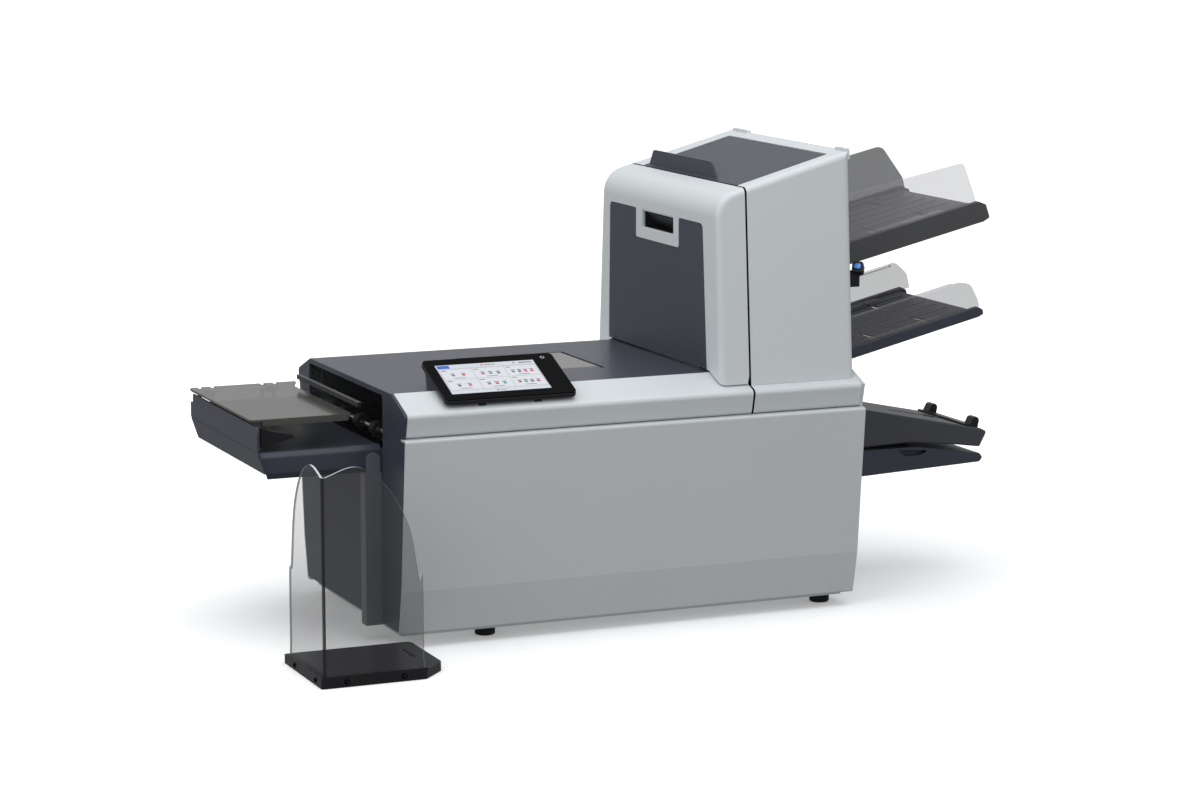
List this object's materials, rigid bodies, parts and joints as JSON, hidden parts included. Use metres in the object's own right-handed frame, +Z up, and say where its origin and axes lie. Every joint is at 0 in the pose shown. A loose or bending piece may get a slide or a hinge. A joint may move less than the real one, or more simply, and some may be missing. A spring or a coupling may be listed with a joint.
{
  "type": "folder-inserter",
  "caption": "Tabletop mail folder-inserter with a tower, sheet trays, an envelope feeder, a touch screen, an output tray and an envelope stacker.",
  "frame": {"origin": "centre of the footprint of the whole machine with its trays and stacker, on the table", "axes": "+X along the machine towards the feed trays, +Y towards its rear, +Z up"},
  "size_m": [1.1375, 0.5796, 0.6465],
  "materials": {
    "shell_grey": "light grey moulded cover, fine satin texture",
    "panel_grey": "light grey powder coat",
    "anthracite": "dark anthracite, fine satin texture",
    "black_plastic": "black moulding",
    "smoked_clear": "smoked clear acrylic",
    "clear_sheet": "lightly tinted clear acrylic",
    "screen_glass": "black touch glass",
    "button_blue": "blue lens",
    "rubber": "black rubber",
    "steel": "plain steel",
    "board_green": "circuit board"
  },
  "bodies": {
    "chassis": {"base_pan": "steel", "button_stem": "black_plastic", "control_board": "board_green", "door_hinges": "steel", "drive_belt": "rubber", "drive_motor": "steel", "envelope_table": "anthracite", "exit_guide": "steel", "exit_pillar": "anthracite", "feet": "rubber", "frame_ties": "steel", "front_frame": "steel", "front_panel": "panel_grey", "left_end_panel": "anthracite", "left_shoulder": "shell_grey", "mains_inlet": "black_plastic", "output_base": "anthracite", "output_side": "anthracite", "power_supply": "steel", "rear_frame": "steel", "rear_panel": "panel_grey", "rear_shoulder": "shell_grey", "right_end_panel": "panel_grey", "right_shoulder": "shell_grey", "right_top_plate": "anthracite", "shaft_bearings": "steel", "tablet_stand": "anthracite", "top_plate": "anthracite", "tower_shell": "shell_grey", "tray_hinges": "steel"},
    "door": {"door_shell": "shell_grey", "door_panel": "anthracite", "handle_pocket": "shell_grey"},
    "latch": {"door_latch": "black_plastic"},
    "tower_lid": {"tower_lid": "anthracite"},
    "hatch": {"window_hatch": "anthracite"},
    "tablet": {"tablet_housing": "black_plastic", "tablet_glass": "screen_glass"},
    "output_cover": {"output_cover": "smoked_clear"},
    "holddown_finger": {"holddown_finger": "black_plastic"},
    "catch_stacker": {"stacker_base": "black_plastic", "stacker_sheet": "clear_sheet"},
    "upper_tray": {"upper_tray": "anthracite"},
    "upper_front_guide": {"upper_front_guide": "clear_sheet"},
    "upper_rear_guide": {"upper_rear_guide": "clear_sheet"},
    "middle_tray": {"middle_tray": "anthracite"},
    "middle_front_guide": {"middle_front_guide": "smoked_clear"},
    "middle_rear_guide": {"middle_rear_guide": "smoked_clear"},
    "envelope_stop": {"envelope_stop": "black_plastic"},
    "feeder_arm": {"feeder_arm": "anthracite"},
    "feed_button": {"feed_button": "button_blue"},
    "power_rocker": {"power_rocker": "black_plastic"},
    "lower_fold_roller": {"lower_fold_roller": "rubber"},
    "upper_fold_roller": {"upper_fold_roller": "rubber"},
    "motor_pulley": {"motor_pulley": "steel"},
    "exit_roller": {"exit_roller": "rubber"},
    "upper_feed_roller": {"upper_feed_roller": "rubber"},
    "middle_feed_roller": {"middle_feed_roller": "rubber"},
    "envelope_feed_roller": {"envelope_feed_roller": "rubber"}
  },
  "joints": [
    {"name": "door_hinge", "type": "hinge", "parent": "chassis", "child": "door", "pos_m": [0.0771, 0.065, 0.3471], "axis": [0, -1, 0], "range_deg": [0, 32]},
    {"name": "latch_pivot", "type": "hinge", "parent": "door", "child": "latch", "pos_m": [0.0821, 0.065, 0.541], "axis": [0, 1, 0], "range_deg": [0, 14], "stiffness_Nm_per_rad": 0.6, "springref_deg": -8.59},
    {"name": "tower_lid_hinge", "type": "hinge", "parent": "chassis", "child": "tower_lid", "pos_m": [0.25531, 0.065, 0.6326], "axis": [0, 1, 0], "range_deg": [0, 75]},
    {"name": "hatch_hinge", "type": "hinge", "parent": "chassis", "child": "hatch", "pos_m": [-0.2021, 0.065, 0.3431], "axis": [0, -1, 0], "range_deg": [0, 80]},
    {"name": "tablet_tilt", "type": "hinge", "parent": "chassis", "child": "tablet", "pos_m": [-0.237, -0.14375, 0.33611], "axis": [1, 0, 0], "range_deg": [0, 20]},
    {"name": "output_cover_hinge", "type": "hinge", "parent": "chassis", "child": "output_cover", "pos_m": [-0.5015, 0.2265, 0.304], "axis": [-1, 0, 0], "range_deg": [0, 75]},
    {"name": "finger_slide", "type": "slide", "parent": "chassis", "child": "holddown_finger", "axis": [0, 0, 1], "range_m": [-0.004, 0.004]},
    {"name": "stacker_slide", "type": "slide", "parent": "chassis", "child": "catch_stacker", "axis": [0, -1, 0], "range_m": [0, 0.06]},
    {"name": "upper_tray_fold", "type": "hinge", "parent": "chassis", "child": "upper_tray", "pos_m": [0.29854, 0.065, 0.48732], "axis": [0, -1, 0], "range_deg": [0, 10]},
    {"name": "upper_front_guide_slide", "type": "slide", "parent": "upper_tray", "child": "upper_front_guide", "axis": [0, 1, 0], "range_m": [0, 0.05]},
    {"name": "upper_rear_guide_slide", "type": "slide", "parent": "upper_tray", "child": "upper_rear_guide", "axis": [0, 1, 0], "range_m": [-0.05, 0]},
    {"name": "middle_tray_fold", "type": "hinge", "parent": "chassis", "child": "middle_tray", "pos_m": [0.30058, 0.065, 0.34283], "axis": [0, -1, 0], "range_deg": [0, 15]},
    {"name": "middle_front_guide_slide", "type": "slide", "parent": "middle_tray", "child": "middle_front_guide", "axis": [0, 1, 0], "range_m": [0, 0.05]},
    {"name": "middle_rear_guide_slide", "type": "slide", "parent": "middle_tray", "child": "middle_rear_guide", "axis": [0, 1, 0], "range_m": [-0.05, 0]},
    {"name": "envelope_stop_slide", "type": "slide", "parent": "chassis", "child": "envelope_stop", "axis": [0.9785, 0, -0.2062], "range_m": [-0.06, 0]},
    {"name": "feeder_arm_pivot", "type": "hinge", "parent": "chassis", "child": "feeder_arm", "pos_m": [0.3025, 0.065, 0.18], "axis": [0, 1, 0], "range_deg": [0, 20]},
    {"name": "feed_button_press", "type": "slide", "parent": "chassis", "child": "feed_button", "axis": [0.5, 0.6667, -0.5528], "range_m": [0, 0.002], "stiffness_N_per_m": 300, "springref_m": -0.001},
    {"name": "power_rocker_tip", "type": "hinge", "parent": "chassis", "child": "power_rocker", "pos_m": [0.2855, 0.1915, 0.096], "axis": [0, 1, 0], "range_deg": [-8, 8]},
    {"name": "lower_fold_spin", "type": "hinge", "parent": "chassis", "child": "lower_fold_roller", "pos_m": [-0.1295, 0.065, 0.232], "axis": [0, 1, 0], "continuous": true},
    {"name": "upper_fold_spin", "type": "hinge", "parent": "chassis", "child": "upper_fold_roller", "pos_m": [-0.1295, 0.065, 0.2684], "axis": [0, 1, 0], "continuous": true},
    {"name": "motor_spin", "type": "hinge", "parent": "chassis", "child": "motor_pulley", "pos_m": [0.0785, 0.065, 0.11], "axis": [0, 1, 0], "continuous": true},
    {"name": "exit_roller_spin", "type": "hinge", "parent": "chassis", "child": "exit_roller", "pos_m": [-0.3615, 0.065, 0.272], "axis": [0, 1, 0], "continuous": true},
    {"name": "upper_feed_spin", "type": "hinge", "parent": "chassis", "child": "upper_feed_roller", "pos_m": [0.2495, 0.065, 0.5562], "axis": [0, 1, 0], "continuous": true},
    {"name": "middle_feed_spin", "type": "hinge", "parent": "chassis", "child": "middle_feed_roller", "pos_m": [0.2495, 0.065, 0.403], "axis": [0, 1, 0], "continuous": true},
    {"name": "envelope_feed_spin", "type": "hinge", "parent": "chassis", "child": "envelope_feed_roller", "pos_m": [0.2495, 0.065, 0.295], "axis": [0, 1, 0], "continuous": true}
  ],
  "couplings": [
    {"joint": "motor_spin", "follows": "lower_fold_spin", "ratio": 1.5},
    {"joint": "upper_fold_spin", "follows": "lower_fold_spin", "ratio": -1},
    {"joint": "upper_rear_guide_slide", "follows": "upper_front_guide_slide", "ratio": -1},
    {"joint": "middle_rear_guide_slide", "follows": "middle_front_guide_slide", "ratio": -1}
  ]
}
